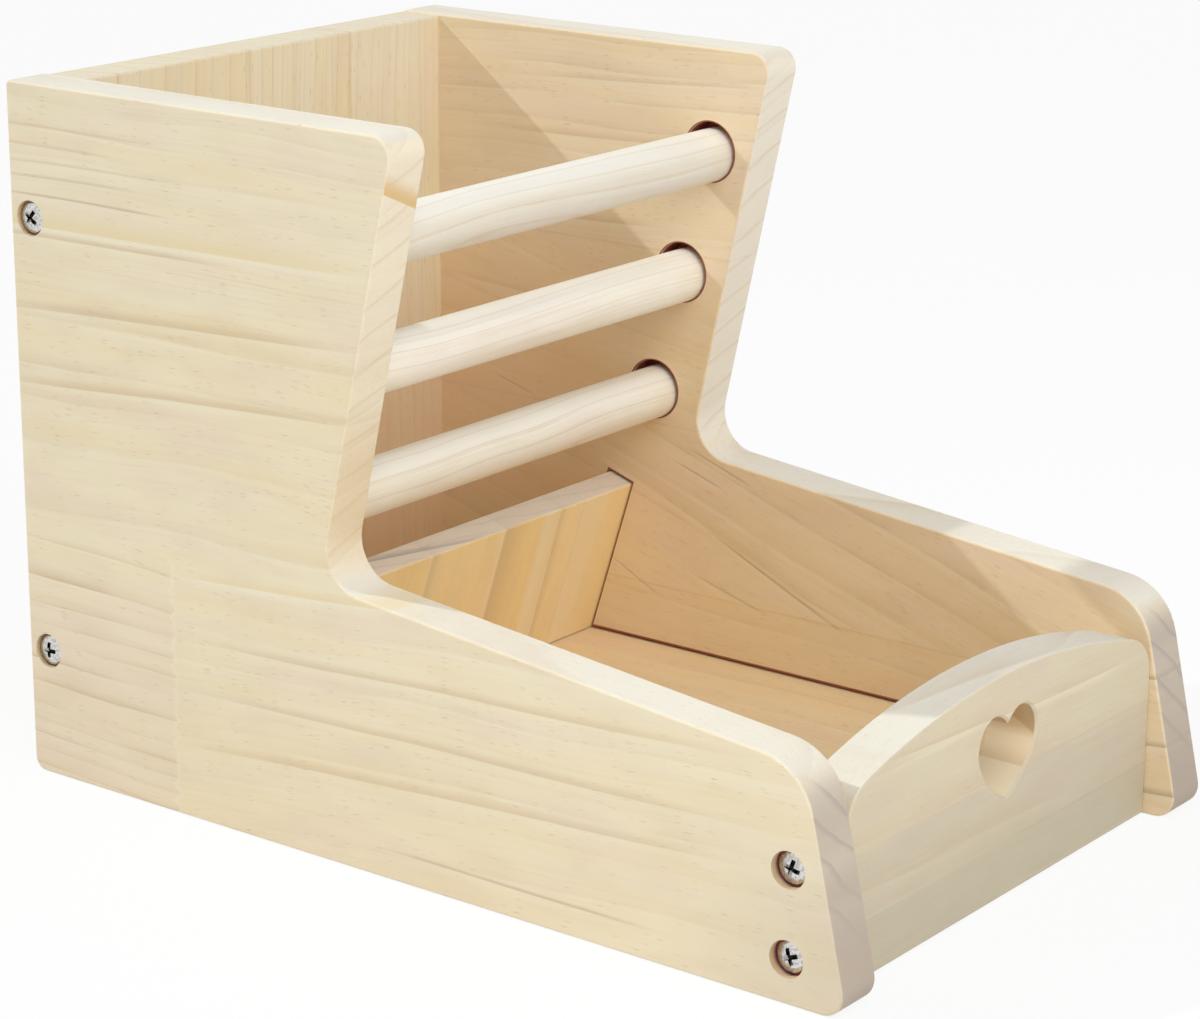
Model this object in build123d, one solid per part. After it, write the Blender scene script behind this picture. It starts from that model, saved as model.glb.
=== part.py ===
"""Hay feeder box for rabbits and guinea pigs.

Two boot-shaped sides are screwed to a back panel and a low front panel. A floor and a leaning hay board sit in
grooves in the sides, and three loose rungs turn in blind holes above the hay board.

Millimetres. +Z is up, the front faces -Y, and +X is to the right of someone who faces the front. The origin is
under the middle of the feeder, on the surface it stands on. A reach is a distance forward of the back face.
"""

from build123d import *
import os
from math import acos, atan2, cos, hypot, radians, sin, tan

# ---- overall ----
side_height = 180.0  # from the surface to the top of the rack
side_length = 251.0  # from the back face to the foremost point of the toe
feeder_width = 162.4  # over the outer faces of the sides

# ---- boards ----
thick_board = 13.1  # sides, back panel and front panel
thin_board = 8.0  # floor and hay board
side_edge_round = 0.7  # sanded edges of the sides
panel_edge_round = 0.6  # sanded edges of the back and front panels
thin_edge_round = 0.5  # sanded top edges of the hay board
panel_lift = 0.3  # the panels clear the surface, so that the feeder stands on its sides

# ---- outline of a side ----
rack_depth = 125.0  # reach of the rack's front edge, at the top
rack_lean = 12.6  # degrees that the rack's front edge and the toe lean back from upright
rim_height = 70.2  # tray rim where it meets the rack
toe_height = 56.6  # tray rim at the front
back_top_round = 1.3
rack_top_round = 5.1
throat_round = 10.5  # between the rack and the tray rim
toe_top_round = 16.0
toe_round = 5.8
heel_round = 3.5

# ---- front panel ----
front_setback = 8.5  # from the foremost point of the toe back to the panel's front face
crown_height = 56.6  # top of the arch
shoulder_height = 45.7  # where the arch would meet the sides
shoulder_round = 11.5
heart_lobe_radius = 7.0
heart_lobe_offset = 5.8  # from the middle of the heart to the middle of a lobe
heart_lobe_height = 39.8
heart_tip_height = 25.4
heart_flank_radius = 24.0  # the flanks bulge out from the tip to the lobes
heart_edge_chamfer = 0.6

# ---- back panel ----
back_top_drop = 0.5  # its top edge lies below the tops of the sides

# ---- floor and hay board, in grooves ----
floor_lift = 4.9  # from the surface to the underside of the floor
hay_foot_reach = 66.8  # foot of the hay board's front face
hay_foot_gap = 0.3  # between the hay board's foot and the floor
hay_board_width = 46.2  # along its slope
hay_lean = 17.5  # degrees that it leans forward from upright
groove_depth = 5.0
floor_groove_play = 0.7  # above the floor
hay_groove_play = 0.9  # shared by the front and the back of the hay board
hay_groove_headroom = 0.7  # above the hay board's top edge
hay_groove_round = 1.6  # upper corners of the hay board's groove
end_play = 0.4  # between a thin board's end and what stops it

# ---- rungs ----
rung_names = ("lower_rung", "middle_rung", "upper_rung")
rung_radius = 7.0
rung_hole_radius = 8.0
rung_hole_depth = 7.5
rung_end_play = 0.4
rung_end_chamfer = 0.8
rung_rest_gap = 0.05  # between a rung and the hole's wall that carries it
lower_rung_margin = 29.2  # from the hay board's top edge to the lowest hole, along the row of holes
upper_rung_margin = 28.4  # from the highest hole to the top of the rack, along the row of holes
rung_setback = 12.3  # the row of holes meets the top of the rack this far behind its front edge

# ---- screws ----
screw_length = 30.0  # under the head
screw_head_radius = 3.75
screw_head_height = 2.0
screw_rim_height = 1.1
screw_shank_radius = 1.7
screw_core_radius = 1.4
thread_radius = 2.0
thread_pitch = 1.8
screw_tip_length = 4.0
drive_reach = 2.6  # from the middle of the head to the end of a slot
drive_slot = 1.1
drive_depth = 1.5
drive_step_turn = 35.0  # degrees between one screw's cross slot and the next one's
counterbore_radius = 4.5
back_counterbore_depth = 2.1  # the heads at the back lie nearly flush
front_counterbore_depth = 3.1
shank_hole_radius = 2.2
pilot_play = 0.05  # between the thread and the wall of its pilot hole
pilot_extra_depth = 1.0
lower_back_screw_height = 33.5
upper_back_screw_drop = 33.8  # below the top of the rack
lower_front_screw_height = 10.8
front_screw_spacing = 21.0

# ---- worked out ----
inner_width = feeder_width - 2 * thick_board
lean_slope = tan(radians(rack_lean))
toe_corner_reach = side_length + toe_round * (1 / tan(radians(90 - rack_lean) / 2) - 1)
throat_reach = rack_depth - (side_height - rim_height) * lean_slope
front_reach = side_length - front_setback
front_panel_back = front_reach - thick_board
floor_top = floor_lift + thin_board
hay_tip_reach = hay_foot_reach + hay_board_width * sin(radians(hay_lean))
hay_foot_height = floor_top + hay_foot_gap
hay_tip_height = hay_foot_height + hay_board_width * cos(radians(hay_lean))
tongue = groove_depth - end_play


def spot(reach, height):
    """The (Y, Z) of a point, from its reach and its height."""
    return (side_length / 2 - reach, height)


def side_plane(x):
    """The plane at x whose own axes are Y and Z, looking along +X."""
    return Plane.YZ.offset(x)


def front_plane(reach):
    """The plane at a reach whose own axes are X and Z, looking forward."""
    return Plane.XZ.offset(reach - side_length / 2)


def bar(x, reach, height, radius, length):
    """A round bar that starts at x and runs along +X."""
    return extrude(side_plane(x) * Pos(*spot(reach, height)) * Circle(radius), length)


def rung_spots():
    """Reach and height of each rung hole, lowest first, spread along a straight row."""
    top_reach = rack_depth - rung_setback
    run, rise = top_reach - hay_tip_reach, side_height - hay_tip_height
    row = hypot(run, rise)
    pitch = (row - lower_rung_margin - upper_rung_margin) / (len(rung_names) - 1)
    shares = [(lower_rung_margin + step * pitch) / row for step in range(len(rung_names))]
    return [(hay_tip_reach + share * run, hay_tip_height + share * rise) for share in shares]


def screw_spots():
    """Reach and height of each screw of one side, and the depth of its counterbore, by its place."""
    back = thick_board / 2
    front = front_reach - thick_board / 2
    upper_front_screw_height = lower_front_screw_height + front_screw_spacing
    return {
        "back_lower": (back, lower_back_screw_height, back_counterbore_depth),
        "back_upper": (back, side_height - upper_back_screw_drop, back_counterbore_depth),
        "front_lower": (front, lower_front_screw_height, front_counterbore_depth),
        "front_upper": (front, upper_front_screw_height, front_counterbore_depth),
    }


def hay_board_section(play, headroom, corner_round):
    """Cross-section of the hay board in its place, or of its groove, wider by play and longer by headroom."""
    section = Rectangle(thin_board + play, hay_board_width + headroom, align=(Align.MIN, Align.MIN))
    section = fillet(section.vertices().group_by(Axis.Y)[-1], corner_round)
    return Pos(*spot(hay_foot_reach, hay_foot_height)) * Rot(Z=hay_lean) * Pos(-play / 2, 0) * section


def side_blank():
    """The left side before any hole or groove is cut."""
    toe_top_reach = toe_corner_reach - toe_height * lean_slope
    corners = [
        (spot(0, 0), heel_round),
        (spot(toe_corner_reach, 0), toe_round),
        (spot(toe_top_reach, toe_height), toe_top_round),
        (spot(throat_reach, rim_height), throat_round),
        (spot(rack_depth, side_height), rack_top_round),
        (spot(0, side_height), back_top_round),
    ]
    points = [point for point, _ in corners]
    radii = [radius for _, radius in corners]
    outline = make_face(FilletPolyline(*points, radius=radii, close=True))
    blank = extrude(side_plane(-feeder_width / 2) * outline, thick_board)
    return fillet(blank.faces().filter_by(Axis.X).edges(), side_edge_round)


def left_side():
    """A boot-shaped side with its grooves, blind rung holes and counterbored screw holes."""
    outer = -feeder_width / 2
    inner = outer + thick_board
    floor_groove = Rectangle(
        front_panel_back - thick_board, thin_board + floor_groove_play, align=(Align.MAX, Align.MIN)
    )
    hay_groove = hay_board_section(hay_groove_play, hay_groove_headroom, hay_groove_round)
    side = side_blank()
    for groove in (Pos(*spot(thick_board, floor_lift)) * floor_groove, hay_groove):
        side -= extrude(side_plane(inner - groove_depth) * groove, groove_depth)
    for reach, height in rung_spots():
        side -= bar(inner - rung_hole_depth, reach, height, rung_hole_radius, rung_hole_depth)
    for reach, height, depth in screw_spots().values():
        side -= bar(outer, reach, height, counterbore_radius, depth)
        side -= bar(outer, reach, height, shank_hole_radius, thick_board)
    return side


def with_pilot_holes(panel, place):
    """The panel with a pilot hole in each end for every screw at its place, back or front."""
    for name, (reach, height, depth) in screw_spots().items():
        if name.startswith(place):
            hold = screw_length - (thick_board - depth)
            hole = bar(-inner_width / 2, reach, height, thread_radius + pilot_play, hold + pilot_extra_depth)
            panel -= hole
            panel -= mirror(hole, about=Plane.YZ)
    return panel


def back_panel():
    """The tall panel between the backs of the sides."""
    height = side_height - back_top_drop - panel_lift
    board = Rectangle(inner_width, height, align=(Align.CENTER, Align.MIN))
    panel = extrude(front_plane(0) * Pos(0, panel_lift) * board, thick_board)
    panel = fillet(panel.edges().filter_by(Axis.X), panel_edge_round)
    return with_pilot_holes(panel, "back")


def heart():
    """Outline of the cut-out: two round lobes that run on smoothly into bulging flanks, down to the tip."""
    lobe = Vector(heart_lobe_offset, heart_lobe_height)
    tip = Vector(0, heart_tip_height)
    span = (lobe - tip).length
    inner = heart_flank_radius - heart_lobe_radius
    spread = acos((heart_flank_radius**2 + span**2 - inner**2) / (2 * heart_flank_radius * span))
    turn = atan2(lobe.Y - tip.Y, lobe.X) + spread
    centre = tip + Vector(cos(turn), sin(turn)) * heart_flank_radius
    touch = centre + (lobe - centre).normalized() * heart_flank_radius
    middle = centre + ((tip + touch) / 2 - centre).normalized() * heart_flank_radius
    crest = lobe + Vector(0, heart_lobe_radius)
    cusp = Vector(0, lobe.Y + (heart_lobe_radius**2 - heart_lobe_offset**2) ** 0.5)
    half = [ThreePointArc(tip, middle, touch), ThreePointArc(touch, crest, cusp)]
    return make_face(half + [mirror(arc, about=Plane.YZ) for arc in half])


def front_panel():
    """The low panel across the tray, with an arched top and a heart cut through it."""
    half = inner_width / 2
    outline = make_face(
        [
            Polyline((-half, shoulder_height), (-half, panel_lift), (half, panel_lift), (half, shoulder_height)),
            ThreePointArc((half, shoulder_height), (0, crown_height), (-half, shoulder_height)),
        ]
    )
    outline = fillet(outline.vertices().group_by(Axis.Y)[-1], shoulder_round)
    panel = extrude(front_plane(front_panel_back) * outline, thick_board)
    panel = fillet(panel.faces().filter_by(Axis.Y).edges(), panel_edge_round)
    panel -= extrude(front_plane(front_panel_back) * heart(), thick_board)
    front_rim = extrude(front_plane(front_reach - heart_edge_chamfer) * heart(), heart_edge_chamfer, taper=-45)
    panel -= front_rim + mirror(front_rim, about=front_plane(front_reach - thick_board / 2))
    return with_pilot_holes(panel, "front")


def floor_board():
    """The thin floor, whose long edges lie in the grooves of the sides."""
    length = front_panel_back - thick_board - 2 * end_play
    board = Box(inner_width + 2 * tongue, length, thin_board, align=(Align.CENTER, Align.MAX, Align.MIN))
    y, z = spot(thick_board + end_play, floor_lift)
    return Pos(0, y, z) * board


def hay_board():
    """The thin board that leans forward under the rungs, with its ends in the slanted grooves."""
    section = hay_board_section(0, 0, thin_edge_round)
    return extrude(side_plane(-inner_width / 2 - tongue) * section, inner_width + 2 * tongue)


def rung(reach, height):
    """A loose rung, which rests on the lower wall of its two holes."""
    seat = rung_hole_depth - rung_end_play
    drop = rung_hole_radius - rung_radius - rung_rest_gap
    dowel = bar(-inner_width / 2 - seat, reach, height - drop, rung_radius, inner_width + 2 * seat)
    return chamfer(dowel.edges().filter_by(GeomType.CIRCLE), rung_end_chamfer)


def screw(turn):
    """A pan-head screw along +X with the underside of its head at the origin, and its thread as plain ridges."""
    rim, crown = -screw_rim_height, -screw_head_height
    thread_start = thick_board - back_counterbore_depth
    tip_start = screw_length - screw_tip_length
    ridges = int((tip_start - thread_start) / thread_pitch)
    profile = [(rim, screw_head_radius), (0, screw_head_radius), (0, screw_shank_radius)]
    profile.append((thread_start, screw_shank_radius))
    for ridge in range(ridges):
        foot = thread_start + ridge * thread_pitch
        profile += [(foot, screw_core_radius), (foot + thread_pitch / 2, thread_radius)]
    profile += [(tip_start, screw_core_radius), (screw_length, 0), (crown, 0)]
    dome_middle = (crown + (rim - crown) / 4, screw_head_radius / 2)
    half = make_face([Polyline(*profile), ThreePointArc(profile[-1], dome_middle, profile[0])])
    slots = [Rectangle(2 * drive_reach, drive_slot), Rectangle(drive_slot, 2 * drive_reach)]
    cross = extrude(side_plane(crown) * Rot(Z=turn) * (slots[0] + slots[1]), drive_depth)
    funnel = Rot(Y=90) * Cone(drive_reach, drive_slot / 2, drive_depth, align=(Align.CENTER,) * 2 + (Align.MIN,))
    return revolve(half, Axis.X) - (cross & (Pos(crown, 0, 0) * funnel))


def make_pieces():
    """Every piece of the feeder in its place, by name."""
    left = left_side()
    pieces = {
        "left_side": left,
        "right_side": mirror(left, about=Plane.YZ),
        "back_panel": back_panel(),
        "front_panel": front_panel(),
        "floor_board": floor_board(),
        "hay_board": hay_board(),
    }
    for name, (reach, height) in zip(rung_names, rung_spots()):
        pieces[name] = rung(reach, height)
    for number, (place, (reach, height, depth)) in enumerate(screw_spots().items()):
        left_screw = Pos(depth - feeder_width / 2, *spot(reach, height)) * screw(number * drive_step_turn)
        pieces[f"left_{place}_screw"] = left_screw
        pieces[f"right_{place}_screw"] = mirror(left_screw, about=Plane.YZ)
    return pieces


if __name__ == "__main__":
    os.makedirs("parts", exist_ok=True)
    for node, piece in make_pieces().items():
        export_step(piece, f"parts/{node}.step")
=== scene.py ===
import math
from collections import namedtuple

import bmesh
import bpy
from bpy.props import FloatProperty, FloatVectorProperty, PointerProperty
from mathutils import Matrix, Vector


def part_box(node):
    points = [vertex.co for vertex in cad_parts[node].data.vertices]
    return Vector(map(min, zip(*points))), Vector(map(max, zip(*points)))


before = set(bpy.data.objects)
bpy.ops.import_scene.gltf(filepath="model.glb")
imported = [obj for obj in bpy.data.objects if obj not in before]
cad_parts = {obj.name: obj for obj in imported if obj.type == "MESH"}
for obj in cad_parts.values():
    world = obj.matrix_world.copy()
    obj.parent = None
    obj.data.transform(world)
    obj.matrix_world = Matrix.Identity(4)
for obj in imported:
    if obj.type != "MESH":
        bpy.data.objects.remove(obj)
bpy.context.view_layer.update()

bl_info = {
    "name": "Hay feeder box",
    "version": (1, 0, 0),
    "blender": (4, 5, 0),
    "location": "3D View > Sidebar > Hay feeder",
    "description": "Pine and steel finishes, stage and camera for a small wooden hay feeder",
    "category": "Object",
}

MM = 1000.0  # millimetres in a metre: the figure of the wood is laid out in millimetres

# Reach is the distance forward of the feeder's back face, in millimetres.
BACK_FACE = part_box("back_panel")[1].y * MM

RUNGS = ("lower_rung", "middle_rung", "upper_rung")
SCREWS = [
    f"{side}_{end}_{level}_screw"
    for side in ("left", "right")
    for end in ("back", "front")
    for level in ("lower", "upper")
]


# ---------------------------------------------------------------------------
# Looks: the colours and numbers that the sidebar shows
# ---------------------------------------------------------------------------


def colour(label, about, value):
    """A colour property of a look."""
    return FloatVectorProperty(
        name=label, description=about, subtype="COLOR", size=3, min=0.0, max=1.0, default=value
    )


class PineLook(bpy.types.PropertyGroup):
    """Colours and figure of the bare pine, with the colours of the shade and light painted on it."""

    pale: colour("Pale wood", "Early wood between the ring lines", (0.85, 0.75, 0.55))
    line: colour("Ring line", "Late wood in the ring lines", (0.62, 0.45, 0.26))
    cream: colour("Early wood", "Pale wood that starts each ring", (0.92, 0.84, 0.65))
    warm: colour("Warm band", "Yellow bands along some staves", (0.84, 0.70, 0.43))
    rose: colour("Rose tint", "Pinkish patches in the wood", (0.82, 0.68, 0.54))
    duct: colour("Resin duct", "Short dark dashes along the grain", (0.42, 0.29, 0.17))
    sanded: colour("Sanded edge", "Paler wood on the narrow faces", (0.83, 0.80, 0.71))
    end: colour("End grain", "Wood cut across its fibres", (0.82, 0.745, 0.61))
    # Painted shadow: dark red along the gaps round the rungs and boards on the sides' inner faces.
    painted_gap_shadow: colour("Cut edge", "Dark red edges of the holes and grooves", (0.30, 0.035, 0.022))
    # Painted shade: reddish, deepening into the holes and grooves.
    painted_recess_shade: colour("Cut wall", "Reddish walls of the holes and grooves", (0.46, 0.085, 0.05))
    # Also painted shade on the toes of the sides.
    grey_wood_and_shade: colour("Handled wood", "Wood greyed by hands", (0.45, 0.385, 0.33))
    # Also painted shade that darkens the front panel toward its foot.
    grey_green_and_shade: colour("Foot of the front", "Greenish grey low on the front panel", (0.40, 0.38, 0.26))
    # Painted light: the tops of the rungs are lit paler.
    painted_top_light: colour("Top of a rung", "Palest wood, along the tops of the rungs", (0.95, 0.92, 0.84))
    # Also amber painted shade on the walls round the screw heads.
    amber_and_bore_shade: colour("Amber wood", "Resin-rich wood in the edges of the left side", (0.72, 0.50, 0.24))
    lilac: colour("Lilac end grain", "End grain of the hay board", (0.86, 0.76, 0.68))
    # Painted shade: warm orange-pink on the inner faces low in the rack, where light bounces between the
    # boards.
    warm_shade: colour("Rosy foot", "Orange-pink wood low inside the rack", (0.95, 0.62, 0.38))
    fibre_width: FloatProperty(
        name="Fibre width", description="Width of one fibre streak", default=0.0004,
        min=0.0001, max=0.002, unit="LENGTH",
    )
    fibre_length: FloatProperty(
        name="Fibre length", description="Length of one fibre streak", default=0.016,
        min=0.002, max=0.08, unit="LENGTH",
    )
    duct_length: FloatProperty(
        name="Duct spacing", description="Length of wood that may hold one resin duct",
        default=0.007, min=0.002, max=0.03, unit="LENGTH",
    )
    roughness: FloatProperty(
        name="Roughness", description="Roughness of the sanded wood", default=0.55,
        min=0.2, max=1.0, subtype="FACTOR",
    )
    relief: FloatProperty(
        name="Relief", description="Depth of the figure that can be felt", default=0.00012,
        min=0.0, max=0.001, unit="LENGTH",
    )


class SteelLook(bpy.types.PropertyGroup):
    """Finish of the plated screws, with painted shade in their recesses and painted reflection."""

    plate: colour("Plating", "Bright plating on the screw heads", (0.72, 0.71, 0.69))
    # Dark patches of painted reflection, and the plating in the scratches.
    dark_reflection_and_scratch: colour("Dull plating", "Plating in the scratches", (0.42, 0.40, 0.38))
    # Painted shade down in the cross and under the head.
    recess_shade: colour("Recess", "Dark plating down in the cross and under the head", (0.02, 0.017, 0.015))
    roughness: FloatProperty(
        name="Roughness", description="Roughness of the plating", default=0.2,
        min=0.02, max=0.8, subtype="FACTOR",
    )
    relief: FloatProperty(
        name="Relief", description="Depth of the scratches", default=0.00004,
        min=0.0, max=0.0005, unit="LENGTH",
    )


class StageLook(bpy.types.PropertyGroup):
    """Floor, light and camera."""

    floor: colour("Floor", "Colour of the floor", (0.88, 0.88, 0.88))
    lamp_colour: colour("Lamp colour", "Colour of the directed lamp", (0.93, 1.0, 1.0))
    floor_size: FloatProperty(
        name="Floor size", description="Side of the square floor", default=9.0,
        min=1.0, max=40.0, unit="LENGTH",
    )
    backdrop: FloatProperty(
        name="Backdrop share", description="Share of plain white in what the camera sees of the floor",
        default=0.88, min=0.0, max=0.95, subtype="FACTOR",
    )
    sky: FloatProperty(
        name="Sky level", description="Strength of the even light from all round", default=0.44,
        min=0.0, max=2.0,
    )
    lamp: FloatProperty(
        name="Lamp level", description="Strength of the directed lamp behind the feeder", default=1.5,
        min=0.0, max=5.0,
    )
    softbox: FloatProperty(
        name="Softbox level", description="Power of the soft light above the feeder in watts",
        default=3.6, min=0.0, max=100.0,
    )
    front_softbox: FloatProperty(
        name="Front softbox level", description="Power of the soft light before the tray in watts",
        default=2.0, min=0.0, max=100.0,
    )
    softbox_size: FloatProperty(
        name="Softbox size", description="Side of each square soft light", default=0.75,
        min=0.1, max=3.0, unit="LENGTH",
    )
    lamp_angle: FloatProperty(
        name="Lamp width", description="Angle that the lamp fills, which softens its shadows",
        default=math.radians(1.2), min=0.0, max=1.0, unit="ROTATION",
    )
    lens: FloatProperty(
        name="Lens", description="Focal length of the camera in millimetres", default=103.735,
        min=20.0, max=300.0,
    )


LOOKS = {"feeder_pine": PineLook, "feeder_steel": SteelLook, "feeder_stage": StageLook}


# ---------------------------------------------------------------------------
# Shader expressions
# ---------------------------------------------------------------------------


class Value:
    """A node's output in an expression. Each operator adds the Math node that it needs."""

    def __init__(self, sheet, socket):
        self.sheet = sheet
        self.socket = socket

    def math(self, operation, *terms):
        return self.sheet.node("ShaderNodeMath", {"operation": operation}, dict(enumerate(terms)))

    def __add__(self, other):
        return self.math("ADD", self, other)

    def __sub__(self, other):
        return self.math("SUBTRACT", self, other)

    def __rsub__(self, other):
        return self.math("SUBTRACT", other, self)

    def __mul__(self, other):
        return self.math("MULTIPLY", self, other)

    def __truediv__(self, other):
        return self.math("DIVIDE", self, other)

    def __pow__(self, other):
        return self.math("POWER", self, other)

    def __abs__(self):
        return self.math("ABSOLUTE", self)

    def __gt__(self, other):
        return self.math("GREATER_THAN", self, other)

    def __lt__(self, other):
        return self.math("LESS_THAN", self, other)

    def __floor__(self):
        return self.math("FLOOR", self)

    __radd__ = __add__
    __rmul__ = __mul__

    def fraction(self):
        return self.math("FRACT", self)

    def rise(self, low, high):
        """0 below low, 1 above high and smooth between; low may be the larger."""
        return self.sheet.node(
            "ShaderNodeMapRange",
            {"interpolation_type": "SMOOTHSTEP"},
            {"Value": self, "From Min": low, "From Max": high},
        )


class Sheet:
    """A material's or world's node tree, and the one way its nodes are made."""

    def __init__(self, owner):
        owner.use_nodes = True
        self.tree = owner.node_tree
        self.tree.nodes.clear()
        self.kind = "World" if isinstance(owner, bpy.types.World) else "Material"

    def node(self, kind, settings=None, inputs=None, output=0):
        made = self.tree.nodes.new(kind)
        for key, value in (settings or {}).items():
            if key == "stops":
                self._stops(made.color_ramp, value)
            else:
                setattr(made, key, value)
        for key, value in (inputs or {}).items():
            socket = self._socket(made.inputs, key)
            if isinstance(value, Value):
                self.tree.links.new(value.socket, socket)
            else:
                socket.default_value = value
        return Value(self, self._socket(made.outputs, output))

    @staticmethod
    def _socket(sockets, key):
        if isinstance(key, int):
            return sockets[key]
        for socket in sockets:
            if key in (socket.identifier, socket.name):
                return socket
        raise KeyError(key)

    @staticmethod
    def _stops(ramp, kind_and_stops):
        ramp.interpolation, stops = kind_and_stops
        while len(ramp.elements) < len(stops):
            ramp.elements.new(1.0)
        for element, (place, shade) in zip(ramp.elements, stops):
            element.position = place
            element.color = shade

    def outputs_of(self, value, *names):
        """Other outputs of the node that made value."""
        return [Value(self, self._socket(value.socket.node.outputs, n)) for n in names]

    def vector(self, x, y, z):
        return self.node("ShaderNodeCombineXYZ", None, {"X": x, "Y": y, "Z": z})

    def split(self, vector):
        first = self.node("ShaderNodeSeparateXYZ", None, {0: vector})
        return self.outputs_of(first, "X", "Y", "Z")

    def noise(self, vector, scale=1.0, detail=2.0, roughness=0.5):
        return self.node(
            "ShaderNodeTexNoise",
            None,
            {"Vector": vector, "Scale": scale, "Detail": detail, "Roughness": roughness},
        )

    def chance(self, value):
        """A number from 0 to 1 that depends only on value."""
        return self.node("ShaderNodeTexWhiteNoise", {"noise_dimensions": "1D"}, {"W": value})

    def spots(self, place, size, limit):
        """Scattered spots in the scaled space of place, in the cells whose own number is over limit."""
        near = self.node("ShaderNodeTexVoronoi", None, {"Vector": place, "Scale": 1.0}, "Distance")
        own = self.node("ShaderNodeSeparateColor", None, {"Color": self.outputs_of(near, "Color")[0]})
        return near.rise(size, size * 0.35) * (own > limit)

    def mix(self, share, first, second, blend="MIX"):
        pick = [c if isinstance(c, Value) else (*c, 1.0) for c in (first, second)]
        return self.node(
            "ShaderNodeMix",
            {"data_type": "RGBA", "blend_type": blend},
            {"Factor_Float": share, "A_Color": pick[0], "B_Color": pick[1]},
            "Result_Color",
        )

    def cover(self, shade, layers):
        """Lays the (share, colour) layers over shade, one after another."""
        for share, tint in layers:
            shade = self.mix(share, shade, tint)
        return shade

    def table(self, value, low, high, rows, stepped=True):
        """Reads one row of numbers by value: each row is (upper limit, numbers), and the numbers
        of the row that holds value come back, each from 0 to 1. The last row has no limit.
        A table that isn't stepped passes evenly from row to row."""
        stops = [(0.0, (*rows[0][1], 1.0))]
        for (limit, _), (_, numbers) in zip(rows, rows[1:]):
            stops.append(((limit - low) / (high - low), (*numbers, 1.0)))
        kind = "CONSTANT" if stepped else "EASE"
        ramp = self.node(
            "ShaderNodeValToRGB",
            {"stops": (kind, stops)},
            {"Fac": (value - low) / (high - low)},
        )
        first = self.node("ShaderNodeSeparateColor", None, {"Color": ramp})
        return self.outputs_of(first, "Red", "Green", "Blue")

    def bump(self, strength, relief, height):
        return self.node(
            "ShaderNodeBump", None, {"Strength": strength, "Distance": relief, "Height": height}
        )

    def finish(self, surface):
        out = self.tree.nodes.new(f"ShaderNodeOutput{self.kind}")
        self.tree.links.new(surface.socket, out.inputs["Surface"])


# ---------------------------------------------------------------------------
# Layout of the figure
# ---------------------------------------------------------------------------

# Staves of each board, from low to high across the grain: (upper limit in mm,
# (ring spacing / RING_SCALE, slope of the grain + LEVEL, warmth)).
RING_SCALE = 20.0  # mm
LEVEL = 0.5
LEFT_STAVES = [
    (40.0, (0.70, 0.55, 0.30)),
    (66.0, (0.65, 0.56, 0.35)),
    (124.0, (0.85, 0.54, 0.35)),
    (146.0, (0.70, 0.53, 0.50)),
    (180.0, (0.34, 0.50, 0.25)),
]
RIGHT_STAVES = [
    (30.0, (0.60, 0.44, 0.55)),
    (76.0, (0.55, 0.17, 0.45)),
    (124.0, (0.50, 0.30, 0.55)),
    (180.0, (0.42, 0.54, 0.30)),
]
BACK_STAVES = [
    (-48.0, (0.20, 0.50, 0.30)),
    (-8.0, (0.30, 0.51, 0.60)),
    (24.0, (0.22, 0.50, 0.30)),
    (31.0, (0.22, 0.50, 0.90)),
    (60.0, (0.26, 0.50, 0.20)),
    (81.0, (0.16, 0.49, 0.45)),
]
FRONT_STAVES = [
    (31.0, (0.70, 0.48, 0.20)),
    (60.0, (0.62, 0.47, 0.30)),
]
HAY_STAVES = [
    (-16.0, (0.50, 0.52, 0.70)),
    (15.0, (0.40, 0.48, 0.30)),
    (36.6, (0.24, 0.54, 0.80)),
    (47.6, (0.14, 0.53, 0.05)),
    (81.0, (0.50, 0.52, 0.55)),
]
FLOOR_STAVES = [
    (-30.0, (0.60, 0.50, 0.40)),
    (20.0, (0.50, 0.52, 0.55)),
    (81.0, (0.60, 0.49, 0.50)),
]

# Single ring lines: (start, end, width, strength, colour), each place as (along, across) in mm.
LEFT_MARKS = [
    ((-30.0, 143.6), (128.0, 147.5), 6.0, 0.95, "warm"),
    ((-20.0, 141.4), (80.0, 143.6), 1.8, 0.50, "line"),
    ((-20.0, 122.2), (124.0, 129.8), 3.4, 0.5, "line"),
    ((-20.0, 102.6), (128.0, 111.9), 3.0, 0.5, "line"),
    ((-12.0, 152.2), (60.0, 152.5), 0.8, 0.50, "duct"),
    ((-12.0, 156.5), (50.0, 157.5), 1.1, 0.42, "line"),
    ((-12.0, 160.2), (66.0, 161.4), 1.0, 0.36, "line"),
    ((-12.0, 164.6), (42.0, 164.6), 1.0, 0.38, "line"),
    ((-12.0, 169.0), (56.0, 169.6), 1.0, 0.34, "line"),
    ((48.0, 62.2), (136.0, 69.2), 2.6, 0.95, "warm"),
    ((40.0, 46.0), (236.0, 55.6), 2.6, 0.46, "line"),
    ((40.0, 33.0), (236.0, 39.8), 2.6, 0.46, "line"),
    ((40.0, 18.6), (236.0, 30.6), 3.0, 0.46, "line"),
    ((112.0, 7.2), (206.0, 7.1), 1.0, 0.50, "duct"),
]
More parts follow.
